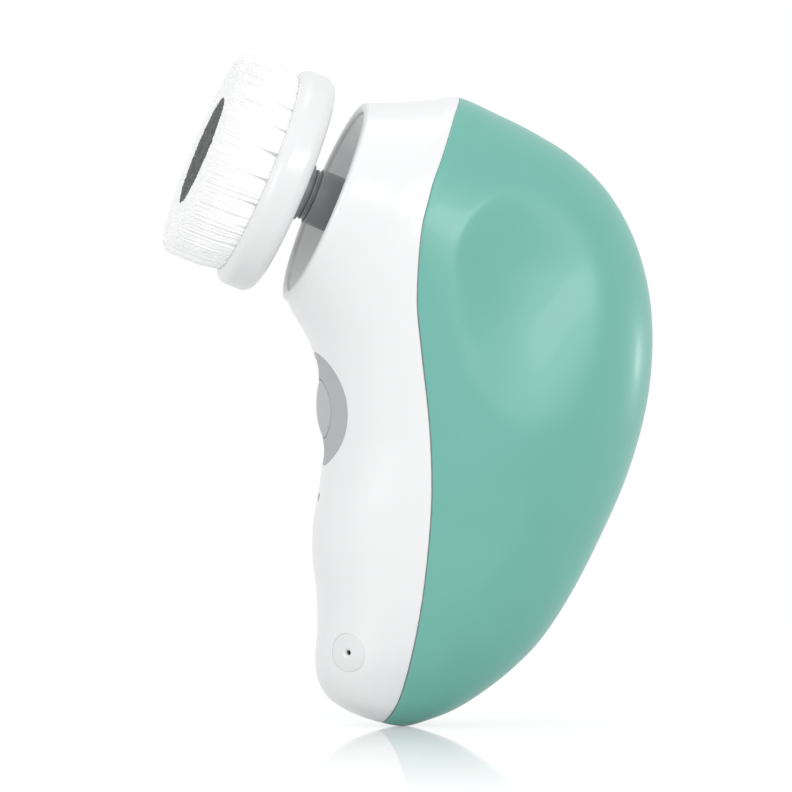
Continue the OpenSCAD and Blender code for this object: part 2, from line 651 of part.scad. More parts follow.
// Brush head: base, and tufts of strands standing on a slice of it
base_r = base_d / 2;
core_r = core_d / 2;
rim_h = 1.1;
round_r = 2.4;
tuft_z = head_gap + base_t - rim_h;
tip_z = tuft_z + bristle_h;
field_r = base_r - 2.2;
slice_t = 1;
key_gap = 0.04;
spigot_end = 0.1;
module brush_base() color("white") on_axis() difference() {
    rotate_extrude() polygon(concat(
        [[0, head_gap], [base_r - round_r, head_gap]],
        [for (a = [-60:30:0]) [base_r - round_r, head_gap + round_r] + round_r * toward(a)],
        [for (a = [0:30:90]) [base_r - round_r, head_gap + base_t - round_r] + round_r * toward(a)],
        [[field_r, head_gap + base_t - 0.4], [field_r, tuft_z - slice_t], [0, tuft_z - slice_t]]));
    intersection() {
        rod(spigot_r + key_gap, head_gap - cut, head_gap + spigot_l + spigot_end);
        translate([-base_r, -spigot_flat / 2 - key_gap, 0]) cube([base_d, spigot_flat + 2 * key_gap, base_d]);
    }
}

// A strand is a straight three-sided spike from its foot to its tip
strand_r = 0.34;
module strand(foot, tip) {
    points = [for (c = [foot, tip], a = [0:120:240]) c + strand_r * [cos(a), sin(a), 0]];
    sides = [for (i = [0:2]) let (j = (i + 1) % 3) each [[i + 3, j, i], [j + 3, j, i + 3]]];
    polyhedron(points, concat([[0, 1, 2], [5, 4, 3]], sides));
}
// A tuft is five strands out of one hole, and a row is a ring of tufts
hole_r = 0.5;
module tuft(r, a, lean, splay, top) for (k = [0:4])
    let (b = a + 72 * k + 36, c = [cos(a), sin(a), 0], d = [cos(b), sin(b), 0])
    strand(r * c + hole_r * d + [0, 0, tuft_z - slice_t / 2], r * lean * c + splay * d + [0, 0, top]);
module tuft_row(r, count, lean, splay, top, turn = 0) for (i = [0:count - 1])
    tuft(r, 360 * (i + turn) / count, lean, splay, top);

outer_row_r = field_r - 1.6;
module outer_bristles() color("white") on_axis() {
    tube(field_r - 0.02, core_r - 0.02, tuft_z - slice_t, tuft_z);
    tuft_row(outer_row_r, 24, 1.06, 1.35, tip_z - 0.7);
    tuft_row(outer_row_r - 3.5, 20, 1.03, 1.35, tip_z, 0.5);
}
module inner_bristles() color("dimgray") on_axis() {
    rod(core_r - 0.05, tuft_z - slice_t, tuft_z);
    tuft_row(core_r - 2, 13, 0.98, 1.2, tip_z);
    tuft_row(core_r - 5, 8, 0.98, 1.2, tip_z);
    tuft_row(core_r - 8, 5, 0.95, 1, tip_z, 0.5);
    tuft(0, 0, 1, 0.9, tip_z);
}

front_shell();
back_shell();
shell_gasket();
shaft_seal();
shaft_bush();
gearbox_cover();
gearbox_frame();
gearbox_screws();
idler_pin();
motor_can();
motor_end_cap();
button_surround();
tactile_switch();
circuit_board();
status_led();
light_pipe();
battery_cell();
chassis();
chassis_screws();
charge_port_seal();
charge_jack();
drive_hub();
drive_shaft();
thrust_washer();
output_gear();
retaining_clip();
compound_gear();
motor_shaft();
motor_pinion();
power_button();
switch_plunger();
brush_base();
outer_bristles();
inner_bristles();
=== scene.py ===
"""A palm-held facial cleansing brush: its shells, bristle head and trim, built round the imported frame.

Shapes are worked out in millimetres and turned into metres where a mesh is made. The brush faces -x,
the body stands on z = 0, and its two halves mirror each other across y = 0.
"""

import json
import math

import bmesh
import bpy
import numpy as np
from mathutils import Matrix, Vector

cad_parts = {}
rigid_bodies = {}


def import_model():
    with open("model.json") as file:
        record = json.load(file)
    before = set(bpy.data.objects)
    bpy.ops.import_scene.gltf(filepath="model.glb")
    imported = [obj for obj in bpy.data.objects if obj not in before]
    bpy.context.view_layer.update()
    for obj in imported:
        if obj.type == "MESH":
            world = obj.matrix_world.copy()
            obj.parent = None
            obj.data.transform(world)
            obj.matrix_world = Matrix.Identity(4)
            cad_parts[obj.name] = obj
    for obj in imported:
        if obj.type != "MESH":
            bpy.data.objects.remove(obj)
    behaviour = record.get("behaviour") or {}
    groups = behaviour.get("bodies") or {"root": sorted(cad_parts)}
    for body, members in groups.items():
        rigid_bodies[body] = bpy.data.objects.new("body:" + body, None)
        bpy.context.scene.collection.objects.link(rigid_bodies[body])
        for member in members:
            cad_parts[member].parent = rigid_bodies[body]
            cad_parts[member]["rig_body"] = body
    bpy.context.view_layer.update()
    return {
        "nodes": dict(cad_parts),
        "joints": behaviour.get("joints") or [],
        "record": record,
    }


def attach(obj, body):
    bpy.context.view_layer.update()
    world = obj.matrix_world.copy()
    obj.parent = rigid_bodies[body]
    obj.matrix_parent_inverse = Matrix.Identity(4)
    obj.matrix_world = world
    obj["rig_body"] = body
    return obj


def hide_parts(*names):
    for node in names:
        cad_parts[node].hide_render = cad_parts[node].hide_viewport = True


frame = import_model()

MM = 0.001
# Points closer than this, in metres, become one
MERGE = 3e-8

# ---------------------------------------------------------------- camera, stage and lights, in metres
AZIMUTH = -9.5
DISTANCE = 1.0
VIEW_WIDTH = 0.1511
VIEW_CENTRE = Vector((-0.0027, 0, 0.06296))
SENSOR = 36
CLIP_START = 0.05

# Each lamp's place, its power in watts, and the width and height of its ellipse
LIGHTS = {
    "key": ((-0.9, -0.5, 0.4), 2.4, (0.6, 0.6)),
    "front": ((0.4, -1.1, 0.46), 4.6, (0.9, 0.26)),
    "top": ((0.1, 0.1, 1.1), 1, (0.5, 0.5)),
    "side": ((1.1, 0.3, 0.03), 0.9, (0.2, 0.12)),
}
LIGHT_TARGET = Vector((0, 0, 0.06))

# The world's light: its colour, and its strength from just below the horizon to straight above
SKY = (0.97, 0.99, 1, 1)
DOME_HEIGHT = (-0.1, 1)
DOME = (0.76, 0.74)

FLOOR_HALF = 0.4
FLOOR_LIGHTING = 0.75
FLOOR_SEEN = 0.5
FLOOR_GLOW = 0.6
# The floor's mirror: roughness, and its share from near the foot to further out
MIRROR_ROUGH = 0.05
MIRROR_REACH = (0.03, 0.2)
MIRROR_SHARE = (0.5, 0.02)


def grey(level):
    return (level, level, level, 1)


def set_sockets(node, values):
    """Sets a node's sockets; an underscore in a key stands for a space in the socket's name."""
    for socket, value in values.items():
        node.inputs[socket.replace("_", " ")].default_value = value


def add_node(tree, kind, **values):
    node = tree.nodes.new("ShaderNode" + kind)
    set_sockets(node, values)
    return node


def add_range(tree, source, start, end):
    """A node that maps a source from the range start to the range end."""
    node = add_node(tree, "MapRange", From_Min=start[0], From_Max=start[1], To_Min=end[0], To_Max=end[1])
    tree.links.new(source, node.inputs["Value"])
    return node


def mix_shaders(tree, share, first, second):
    mix = add_node(tree, "MixShader")
    tree.links.new(share, mix.inputs[0])
    tree.links.new(first.outputs[0], mix.inputs[1])
    tree.links.new(second.outputs[0], mix.inputs[2])
    return mix


def camera_mix(tree, seen, lighting, output):
    """The camera, and mirrors and glass, see one shader, and the object is lit by another."""
    path = add_node(tree, "LightPath")
    share = path.outputs["Is Camera Ray"]
    for ray in ("Is Glossy Ray", "Is Transmission Ray"):
        either = add_node(tree, "Math")
        either.operation = "MAXIMUM"
        tree.links.new(share, either.inputs[0])
        tree.links.new(path.outputs[ray], either.inputs[1])
        share = either.outputs[0]
    mix = mix_shaders(tree, share, lighting, seen)
    tree.links.new(mix.outputs[0], output.inputs["Surface"])


def make_camera():
    turn = math.radians(AZIMUTH)
    back = Vector((math.sin(turn), -math.cos(turn), 0))
    data = bpy.data.cameras.new("camera")
    data.sensor_width = SENSOR
    data.lens = SENSOR * DISTANCE / VIEW_WIDTH
    data.clip_start = CLIP_START
    camera = bpy.data.objects.new("camera", data)
    camera.location = VIEW_CENTRE + back * DISTANCE
    camera.rotation_euler = (-back).to_track_quat("-Z", "Y").to_euler()
    bpy.context.collection.objects.link(camera)
    bpy.context.scene.camera = camera


def make_world():
    """A white background, and an even, slightly cool light from all sides."""
    world = bpy.data.worlds.new("studio")
    bpy.context.scene.world = world
    world.use_nodes = True
    tree = world.node_tree
    tree.nodes.clear()
    output = add_node(tree, "OutputWorld")
    seen = add_node(tree, "Background", Color=grey(1), Strength=1)
    lighting = add_node(tree, "Background", Color=SKY)
    place = add_node(tree, "TexCoord")
    parts = add_node(tree, "SeparateXYZ")
    tree.links.new(place.outputs["Generated"], parts.inputs["Vector"])
    dome = add_range(tree, parts.outputs["Z"], DOME_HEIGHT, DOME)
    tree.links.new(dome.outputs["Result"], lighting.inputs["Strength"])
    camera_mix(tree, seen, lighting, output)


def floor_material():
    """A matt white that keeps the shadow, under a soft mirror that fades away from the foot."""
    material = bpy.data.materials.new("floor_white")
    material.use_nodes = True
    tree = material.node_tree
    tree.nodes.clear()
    output = add_node(tree, "OutputMaterial")
    lighting = add_node(tree, "BsdfDiffuse", Color=grey(FLOOR_LIGHTING))
    matt = add_node(tree, "BsdfDiffuse", Color=grey(FLOOR_SEEN))
    glow = add_node(tree, "Emission", Color=grey(1), Strength=FLOOR_GLOW)
    lit = add_node(tree, "AddShader")
    tree.links.new(matt.outputs[0], lit.inputs[0])
    tree.links.new(glow.outputs[0], lit.inputs[1])
    mirror = add_node(tree, "BsdfGlossy", Color=grey(1), Roughness=MIRROR_ROUGH)
    place = add_node(tree, "TexCoord")
    far = add_node(tree, "VectorMath")
    far.operation = "LENGTH"
    tree.links.new(place.outputs["Object"], far.inputs[0])
    share = add_range(tree, far.outputs["Value"], MIRROR_REACH, MIRROR_SHARE)
    seen = mix_shaders(tree, share.outputs["Result"], lit, mirror)
    camera_mix(tree, seen, lighting, output)
    return material


def make_floor():
    mesh = bpy.data.meshes.new("floor")
    corners = [(x * FLOOR_HALF, y * FLOOR_HALF, 0) for x, y in ((-1, -1), (1, -1), (1, 1), (-1, 1))]
    mesh.from_pydata(corners, [], [(0, 1, 2, 3)])
    mesh.materials.append(floor_material())
    floor = bpy.data.objects.new("floor", mesh)
    bpy.context.collection.objects.link(floor)


def make_lights():
    for name, (place, power, size) in LIGHTS.items():
        data = bpy.data.lights.new(name, "AREA")
        data.energy = power
        data.shape = "ELLIPSE"
        data.size, data.size_y = size
        light = bpy.data.objects.new(name, data)
        light.location = place
        light.rotation_euler = (LIGHT_TARGET - Vector(place)).to_track_quat("-Z", "Y").to_euler()
        bpy.context.collection.objects.link(light)


# ---------------------------------------------------------------- finishes
GRAIN = 2500
GRAIN_BUMP = 0.02
GRAIN_DEPTH = 0.02
# Where, in the mottle's noise, the darker and the lighter tint are reached
TINT_STOPS = (0.3, 0.7)


def finish(name, colour, drift=0.04, rough=(0.28, 0.36), mottle=120, **sockets):
    """A procedural finish: the colour drifts a little over the surface, the roughness follows a mottle,
    and a fine grain gives the bump. Sockets that are the same all over are set on the shader."""
    material = bpy.data.materials.new(name)
    material.use_nodes = True
    tree = material.node_tree
    shader = tree.nodes["Principled BSDF"]
    place = add_node(tree, "TexCoord")

    patches = add_node(tree, "TexNoise", Scale=mottle, Detail=4)
    tree.links.new(place.outputs["Object"], patches.inputs["Vector"])
    tint = add_node(tree, "ValToRGB")
    for stop, position, level in zip(tint.color_ramp.elements, TINT_STOPS, (1 - drift, 1 + drift)):
        stop.position = position
        stop.color = (*[min(1, c * level) for c in colour], 1)
    tree.links.new(patches.outputs["Fac"], tint.inputs["Fac"])
    tree.links.new(tint.outputs["Color"], shader.inputs["Base Color"])
    gloss = add_range(tree, patches.outputs["Fac"], (0, 1), rough)
    tree.links.new(gloss.outputs["Result"], shader.inputs["Roughness"])

    fine = add_node(tree, "TexNoise", Scale=GRAIN, Detail=2)
    tree.links.new(place.outputs["Object"], fine.inputs["Vector"])
    relief = add_node(tree, "Bump", Strength=GRAIN_BUMP, Distance=GRAIN_DEPTH * MM)
    tree.links.new(fine.outputs["Fac"], relief.inputs["Height"])
    tree.links.new(relief.outputs["Normal"], shader.inputs["Normal"])
    set_sockets(shader, sockets)
    return material


GLOSSY_WHITE = dict(drift=0.004, mottle=40, Coat_Weight=0.2)
FINISHES = {
    "white_shell": dict(colour=(0.84, 0.84, 0.84), rough=(0.27, 0.3), **GLOSSY_WHITE),
    "teal_shell": dict(colour=(0.15, 0.44, 0.367), drift=0.015, rough=(0.33, 0.37), Coat_Weight=0.06),
    "dark_rubber": dict(colour=(0.2, 0.22, 0.215), rough=(0.6, 0.8)),
    "bronze": dict(colour=(0.62, 0.4, 0.2), rough=(0.35, 0.55), Metallic=1),
    "frame_plastic": dict(colour=(0.62, 0.62, 0.6), rough=(0.45, 0.6)),
    "gear_plastic": dict(colour=(0.78, 0.76, 0.7), rough=(0.4, 0.5)),
    "steel": dict(colour=(0.6, 0.6, 0.61), rough=(0.2, 0.35), Metallic=1),
    "motor_steel": dict(colour=(0.66, 0.66, 0.68), rough=(0.3, 0.5), Metallic=1),
    "pinion_brass": dict(colour=(0.7, 0.52, 0.22), rough=(0.25, 0.4), Metallic=1),
    "dark_plastic": dict(colour=(0.025, 0.025, 0.027), rough=(0.4, 0.5)),
    "switch_metal": dict(colour=(0.65, 0.65, 0.66), rough=(0.25, 0.4), Metallic=1),
    "board": dict(colour=(0.02, 0.13, 0.06), drift=0.15, rough=(0.3, 0.45)),
    "led": dict(colour=(0.8, 0.78, 0.68), rough=(0.3, 0.4)),
    "clear": dict(colour=(0.5, 0.52, 0.53), rough=(0.15, 0.25), Transmission_Weight=0.6),
    "cell_wrap": dict(colour=(0.06, 0.2, 0.5), rough=(0.25, 0.35)),
    "port_silicone": dict(colour=(0.8, 0.8, 0.8), drift=0.01, rough=(0.5, 0.6)),
    "inlay_silicone": dict(colour=(0.45, 0.455, 0.46), drift=0.02, rough=(0.5, 0.62)),
    "button_grey": dict(colour=(0.49, 0.495, 0.5), drift=0.02, rough=(0.4, 0.5)),
    "hub_grey": dict(colour=(0.27, 0.275, 0.28), drift=0.03, rough=(0.35, 0.45)),
    "base_white": dict(colour=(0.8, 0.8, 0.8), rough=(0.28, 0.32), **GLOSSY_WHITE),
    # The white bristles glow a little: painted light, standing in for the light that passes through and
    # between the translucent strands
    "bristle_white": dict(colour=(0.94, 0.94, 0.93), drift=0.02, mottle=400, rough=(0.6, 0.7),
                          Emission_Color=grey(1), Emission_Strength=0.16),
    "bristle_dark": dict(colour=(0.16, 0.162, 0.165), drift=0.5, mottle=900, rough=(0.5, 0.65)),
}
MATERIALS = {name: finish(name, **look) for name, look in FINISHES.items()}
SLOT_OF = {row["node"]: row["material_slot"] for row in frame["record"]["subparts"]}


def coat_nodes():
    """Every CAD node gets its slot's finish."""
    for name, node in frame["nodes"].items():
        node.data.materials.clear()
        node.data.materials.append(MATERIALS[SLOT_OF[name]])


# ---------------------------------------------------------------- meshes
def loft(rings):
    """The quads between rings of as many points each."""
    count = len(rings[0])
    faces = []
    for i in range(len(rings) - 1):
        for k in range(count - 1):
            a = i * count + k
            faces.append((a, a + 1, a + count + 1, a + count))
    return faces


def closed_mesh(name, points, faces):
    """A mesh from points in millimetres, with equal points merged and every face turned outward."""
    mesh = bpy.data.meshes.new(name)
    mesh.from_pydata([tuple(p) for p in np.asarray(points) * MM], [], faces)
    work = bmesh.new()
    work.from_mesh(mesh)
    bmesh.ops.remove_doubles(work, verts=work.verts, dist=MERGE)
    bmesh.ops.recalc_face_normals(work, faces=work.faces)
    work.to_mesh(mesh)
    work.free()
    return mesh


def add_piece(name, points, faces, node, smooth=True):
    """A closed mesh that stands for a CAD node, on that node's body, in its slot's finish."""
    mesh = closed_mesh(name, points, faces)
    for face in mesh.polygons:
        face.use_smooth = smooth
    slot = SLOT_OF[node]
    mesh.materials.append(MATERIALS[slot])
    piece = bpy.data.objects.new(name, mesh)
    bpy.context.collection.objects.link(piece)
    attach(piece, frame["nodes"][node]["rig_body"])
    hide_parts(node)
    return piece


# ---------------------------------------------------------------- the body's skin
# Sections from the mouth down to the foot, each on its chord from front to back in the mid plane:
# the front point's x and z, the back point's x and z, the half width, and where on the chord it is widest
SECTIONS = [
    [-22.6, 79.3, -2.4, 118.9, 20.8, 0.50],
    [-21.8, 77.8, 4.1, 119.5, 21.2, 0.49],
    [-20.8, 76.2, 9.1, 120.0, 21.6, 0.48],
    [-19.6, 74.1, 16.6, 116.9, 22.1, 0.46],
    [-18.6, 71.7, 24.2, 113.2, 22.5, 0.45],
    [-17.8, 68.8, 31.6, 108.6, 22.8, 0.44],
    [-17.3, 65.2, 38.2, 102.2, 23.0, 0.43],
    [-17.0, 61.4, 43.3, 93.4, 23.0, 0.42],
    [-16.8, 57.0, 46.3, 83.0, 22.9, 0.42],
    [-16.6, 52.0, 47.0, 71.8, 22.5, 0.42],
    [-17.3, 45.8, 45.6, 60.0, 21.8, 0.42],
    [-18.4, 39.4, 42.1, 48.0, 20.7, 0.42],
    [-18.7, 33.0, 37.2, 36.8, 19.4, 0.42],
    [-17.9, 25.5, 31.4, 25.6, 17.6, 0.42],
    [-17.8, 18.6, 25.6, 16.8, 15.4, 0.42],
    [-18.2, 13.2, 20.2, 11.2, 13.2, 0.42],
    [-17.8, 9.2, 14.6, 6.8, 10.8, 0.44],
    [-15.8, 5.6, 8.8, 3.2, 8.2, 0.46],
    [-12.4, 3.2, 3.4, 1.1, 5.6, 0.48],
    [-9.0, 1.7, -1.2, 0.0, 3.0, 0.50],
    [-5.8, 0.7, -5.8, 0.7, 0, 0.50],
]
# The seam in the mid plane, from the crown down to the foot
SEAM = np.array([
    [9.1, 120], [6.2, 115.4], [3.0, 108], [-0.2, 100], [-1.9, 92], [-2.5, 81], [-1.7, 72], [-0.1, 58],
    [0.5, 46], [0.2, 36], [-0.8, 24], [-2.4, 12.6], [-3.9, 5], [-5.8, 0.7],
])
# The finger hollow in each side: its deepest place (x, z), its reach sideways, up and down, its depth,
# and how sharply it starts
HOLLOW_CENTRE = (20.2, 85)
HOLLOW_REACH = (16.2, 18.2, 29)
HOLLOW_DEPTH = 3.6
HOLLOW_EDGE = 1.3

# The mouth's frame: its middle, the brush axis, and the directions up the mouth and across it
drive = next(joint for joint in frame["joints"] if joint["name"] == "drive_spin")
AXIS = np.array(drive["axis"], float)
MOUTH = np.array(drive["pos_m"], float) / MM
UP = np.array([AXIS[2], 0, -AXIS[0]])
SIDE = np.array([0, 1, 0])
MOUTH_R = 20.6
# The rounded lip: depth from the mouth's rim plane, and inset from its radius
LIP = [[0, 1.2], [0.4, 0.4], [1.4, 0]]


def mouth_row(depth, inset):
    """The mouth's rim as a section."""
    r = MOUTH_R - inset
    centre = MOUTH - depth * AXIS
    front, back = centre - r * UP, centre + r * UP
    return [front[0], front[2], back[0], back[2], r, 0.5]


ROWS = np.array([mouth_row(*row) for row in LIP] + SECTIONS)
LAST = len(ROWS) - 1
# The section whose back point is the seam's start
CROWN = 5
# Steps between points whose difference gives the skin's direction
STEP_V = 0.02
STEP_Q = 1


def curve(rows, v):
    """A smooth curve through rows of numbers, at the places v counted in rows."""
    v = np.asarray(v, float)
    n = len(rows) - 1
    i = np.clip(np.floor(v).astype(int), 0, n - 1)
    t = (v - i)[..., None]
    a, b, c, d = (rows[np.clip(i + k, 0, n)] for k in (-1, 0, 1, 2))
    return b + 0.5 * t * ((c - a) + t * ((2 * a - 5 * b + 4 * c - d) + t * (3 * b - a - 3 * c + d)))


def hollow(x, z):
    """How deep the finger hollow is: steep at its upper edge, with a longer slope below its deepest place."""
    up = z - HOLLOW_CENTRE[1]
    reach = np.where(up > 0, HOLLOW_REACH[1], HOLLOW_REACH[2])
    q = ((x - HOLLOW_CENTRE[0]) / HOLLOW_REACH[0]) ** 2 + (up / reach) ** 2
    return np.where(q < 1, HOLLOW_DEPTH * (1 - np.minimum(q, 1)) ** HOLLOW_EDGE, 0)


def skin(v, q):
    """A point of the skin in section v, at q degrees round it from the front point."""
    v, q = np.broadcast_arrays(np.asarray(v, float), np.asarray(q, float))
    s = curve(ROWS, v)
    a = np.radians(np.where(q > 180, 360 - q, np.abs(q)))
    m = s[..., 5]
    c = np.where(a < np.pi / 2, m * (1 - np.cos(a)), m - (1 - m) * np.cos(a))
    x = s[..., 0] + c * (s[..., 2] - s[..., 0])
    z = s[..., 1] + c * (s[..., 3] - s[..., 1])
    y = np.sin(np.radians(q)) * (s[..., 4] - hollow(x, z))
    return np.stack([x, y, z], -1)


def outward(v, q):
    """The skin's outward direction; it stops just short of the foot's end, where the skin is one point."""
    w = np.clip(v, STEP_V, LAST - 2 * STEP_V)
    across = skin(w, q + STEP_Q) - skin(w, q - STEP_Q)
    along = skin(w + STEP_V, q) - skin(w - STEP_V, q)
    n = np.cross(across, along)
    return n / np.linalg.norm(n, axis=-1, keepdims=True)


def foot_out():
    """One outward direction for the foot's end, from a ring of places just above it."""
    turn = np.arange(0, 360, 30)
    n = outward(np.full(len(turn), LAST - 0.5), turn).sum(0)
    return n / np.linalg.norm(n)


def off_skin(v, q, d):
    """A point at the distance d outside the skin."""
    v, q = np.broadcast_arrays(np.asarray(v, float), np.asarray(q, float))
    n = np.where((v > LAST - STEP_V)[..., None], foot_out(), outward(v, q))
    return skin(v, q) + np.asarray(d)[..., None] * n


# ---------------------------------------------------------------- the seam
SEAM_GAP = 0.22
# How far the front shell's edge lies behind the seam's own line
SEAM_START = 0.1
HALVINGS = 30
SEAM_HALVINGS = 26
# Places along the seam, in rows of SEAM, where its points close to the crown lie
SEAM_PLACES = np.concatenate([np.linspace(0.03, 0.5, 16), np.linspace(0.6, 2.7, 22)])
SEAM_ROWS = 10
# Round the crown the seam runs along one section: how many points it has there, over which run of a section
CROWN_STEPS = 12
CROWN_RUN = 0.002
# How far, in sections, the seam's points keep from the crown's run, from SEAM_PLACES' last and from the foot
CROWN_CLEAR, ROWS_CLEAR, FOOT_CLEAR = 0.002, 0.02, 0.01


def halve(start, end, goes_on, halvings=HALVINGS):
    """Narrows a range down to the place at which goes_on, true at its start, becomes false."""
    for _ in range(halvings):
        middle = (start + end) / 2
        start, end = (middle, end) if goes_on(middle) else (start, middle)
    return start, end


def seam_side(section, u):
    """On which side of a section's chord, by sign, the place u of the seam lies."""
    p = curve(SEAM, u)
    return (section[2] - section[0]) * (p[1] - section[1]) - (section[3] - section[1]) * (p[0] - section[0])


def seam_angle(v, shift=0.0):
    """The angle at which the seam, moved back by shift, crosses section v."""
    if v >= LAST:
        return 90.0
    s = curve(ROWS, v)
    u, _ = halve(0.0, len(SEAM) - 1.0, lambda place: seam_side(s, place) > 0, SEAM_HALVINGS)
    p = curve(SEAM, u)
    chord = math.hypot(s[2] - s[0], s[3] - s[1])
    c = (math.hypot(p[0] - s[0], p[1] - s[1]) + shift) / chord
    m = s[5]
    if c >= 1:
        return 180.0
    return math.degrees(math.acos(1 - c / m) if c < m else math.acos((m - c) / (1 - m)))


def section_at(u):
    """The section whose chord passes through place u of the seam."""
    start, end = halve(float(CROWN), float(LAST), lambda v: seam_side(curve(ROWS, v), u) <= 0)
    return (start + end) / 2


def where_closed(shift, shut, opened):
    """The section where the seam, moved back by shift, closes over the crown or the foot."""
    return halve(shut, opened, lambda v: seam_angle(v, shift) >= 180)[1]


def seam_line(shift, foot, run):
    """Sections and angles along the seam, first round the crown and then down to the foot."""
    top = where_closed(shift, CROWN, CROWN + 1)
    by_seam = [section_at(u) for u in SEAM_PLACES]
    by_row = np.linspace(CROWN + 1, LAST, SEAM_ROWS * (LAST - CROWN - 1) + 1)
    on = [v for v in by_seam if v > top + CROWN_CLEAR]
    on += [v for v in by_row if by_seam[-1] + ROWS_CLEAR < v < foot - FOOT_CLEAR]
    if foot < LAST:
        on.append(foot)
    crown_v = top + np.linspace(min(run, 0), max(run, 0), CROWN_STEPS)
    crown_q = np.linspace(180, seam_angle(top, shift), CROWN_STEPS)
    return np.concatenate([crown_v, on]), np.concatenate([crown_q, [seam_angle(v, shift) for v in on]])


# ---------------------------------------------------------------- shells
SHELL_WALL = 2
EDGE_ROUND = 0.22
# Distances from a shell's edge at which its points lie close together
EDGE_STEPS = [0, 0.03, 0.08, 0.15, 0.24, 0.4]
COLUMNS = 120
# How close those points may come where a section is cut short, as a share of its angle
FRONT_CROWD, BACK_CROWD = 0.02, 0.03
# The seam crosses a section at a slant where its angle is within this of 180 degrees
SLANT_ANGLE, SLANT_LEAST = 60, 0.3
LIP_ROWS = np.linspace(0, 2, 13)
CROWN_ROWS = 26
EDGE_POINTS = 2400
CHUNK = 4000
FAR = 9.0
TINY = 1e-6
# About the distance in millimetres between two sections at the crown
SECTION_L = 8

# The mouth's dish, as radius and height from the rim plane, and the boss round the hub's bore
DISH_RIM_R, DISH_RIM_Z = MOUTH_R - 2.4, -0.9
DISH_FLOOR_R = 8
DISH_DEPTH = 5
DISH_WALL = 2.2
BORE_R = 5.7
BORE_END = -DISH_DEPTH - 2.6
BEARING_R = 7.4
BOSS_R = 10
BOSS_END = -DISH_DEPTH - 5.4


def edge_round(distance):
    """How far a rounded edge drops below the skin at a distance from it."""
    left = np.clip(EDGE_ROUND - distance, 0, EDGE_ROUND)
    return EDGE_ROUND - np.sqrt(EDGE_ROUND**2 - left**2)


def degree_length(v, q, turn):
    """The skin's length in section v over one degree, from q on by turn."""
    return np.linalg.norm(skin(v, q) - skin(v, q + turn)) + TINY


def columns(edge, degree, crowd):
    """Angles from -edge to edge, close together beside the edge; degree is a degree's length there."""
    near = np.array([min(step / degree, edge * crowd * (k + 1)) for k, step in enumerate(EDGE_STEPS)])
    inner, side = edge - near[-1], edge - near[:-1]
    return np.concatenate([-side, np.linspace(-inner, inner, COLUMNS - 1), side[::-1]])


def edge_line(rows, edges):
    """Points close together along the seam on both sides."""
    fine = np.linspace(0, len(rows) - 1, EDGE_POINTS)
    v, q = (np.interp(fine, np.arange(len(rows)), part) for part in (rows, edges))
    return np.concatenate([skin(v, q), skin(v, -q)])


def drop_near(points, line):
    """The rounding at each point, from its distance to the edge line."""
    flat = points.reshape(-1, 3)
    near = np.full(len(flat), FAR)
    for start in range(0, len(flat), CHUNK):
        part = flat[start:start + CHUNK]
        near[start:start + CHUNK] = np.linalg.norm(part[:, None] - line[None], axis=-1).min(1)
    return edge_round(near.reshape(points.shape[:-1]))


def dish_height(r):
    """The dish's height at a radius, on a soft slope from its rim to its floor."""
    share = (r - DISH_FLOOR_R) / (DISH_RIM_R - DISH_FLOOR_R)
    return DISH_RIM_Z - (DISH_DEPTH + DISH_RIM_Z) * math.cos(math.pi / 2 * share)


def dish_profile():
    """Radius and height, along the mouth's axis, from the lip over the dish and its boss to its back."""
    lip = [[MOUTH_R - inset, z] for inset, z in ((1.2, 0), (1.6, -0.03), (1.95, -0.15), (2.25, -0.4))]
    slope = [[r, dish_height(r)] for r in np.linspace(DISH_RIM_R, DISH_FLOOR_R, 24)]
    bore = [[BORE_R + 0.6, -DISH_DEPTH], [BORE_R + 0.17, -DISH_DEPTH - 0.17],
            [BORE_R, -DISH_DEPTH - 0.6], [BORE_R, BORE_END]]
    boss = [[BEARING_R, BORE_END], [BEARING_R, BOSS_END], [BOSS_R, BOSS_END],
            [BOSS_R, -DISH_DEPTH - DISH_WALL]]
    back = [[r, dish_height(r) - DISH_WALL] for r in (12, 14, 16, 17.4)]
    return lip + slope + bore + boss + back


def mouth_ring(r, z, q):
    """A ring in the mouth's frame with its points at the angles q from the mouth's front."""
    q = np.radians(q)[..., None]
    return MOUTH + z * AXIS - r * np.cos(q) * UP + r * np.sin(q) * SIDE


def side_walls(count, outer, inner):
    """The quads that join both ends of the outer rings to those of the inner rings, both given in order."""
    return [(outer[i] * count + k, outer[i + 1] * count + k, inner[i + 1] * count + k, inner[i] * count + k)
            for i in range(len(outer) - 1) for k in (0, count - 1)]


def front_shell():
    """The white shell: its skin from the seam to the lip, the dish and boss, and its inner wall."""
    places, place_edges = seam_line(SEAM_START, LAST + 1, -CROWN_RUN)
    near = [places[0] - step / SECTION_L for step in EDGE_STEPS[1:]][::-1]
    crown = np.linspace(LIP_ROWS[-1] + 0.1, near[0] - 0.05, CROWN_ROWS)
    closed = np.concatenate([LIP_ROWS, crown, near])
    rows = np.concatenate([closed, places])
    edges = np.concatenate([np.full(len(closed), 180.0), place_edges])
    slants = np.clip(np.abs(180 - edges) / SLANT_ANGLE, SLANT_LEAST, 1)
    angles = np.array([columns(edge, degree_length(v, edge, -1) * slant, FRONT_CROWD)
                       for v, edge, slant in zip(rows, edges, slants)])
    grid_v = np.repeat(rows[:, None], angles.shape[1], 1)
    outer = off_skin(grid_v, angles, -drop_near(skin(grid_v, angles), edge_line(places, place_edges)))
    walled = rows > len(LIP)
    inner = off_skin(grid_v[walled], angles[walled], np.full(angles[walled].shape, -SHELL_WALL))
    dish = [mouth_ring(r, z, angles[0]) for r, z in dish_profile()]
    rings = [*outer[::-1], *dish, *inner]
    opened = range(len(closed), len(rows))
    walls = side_walls(angles.shape[1], [len(rows) - 1 - i for i in opened],
                       [len(rings) - len(rows) + i for i in opened])
    return add_piece("front_shell_skin", np.concatenate(rings), loft(rings) + walls, "front_shell")


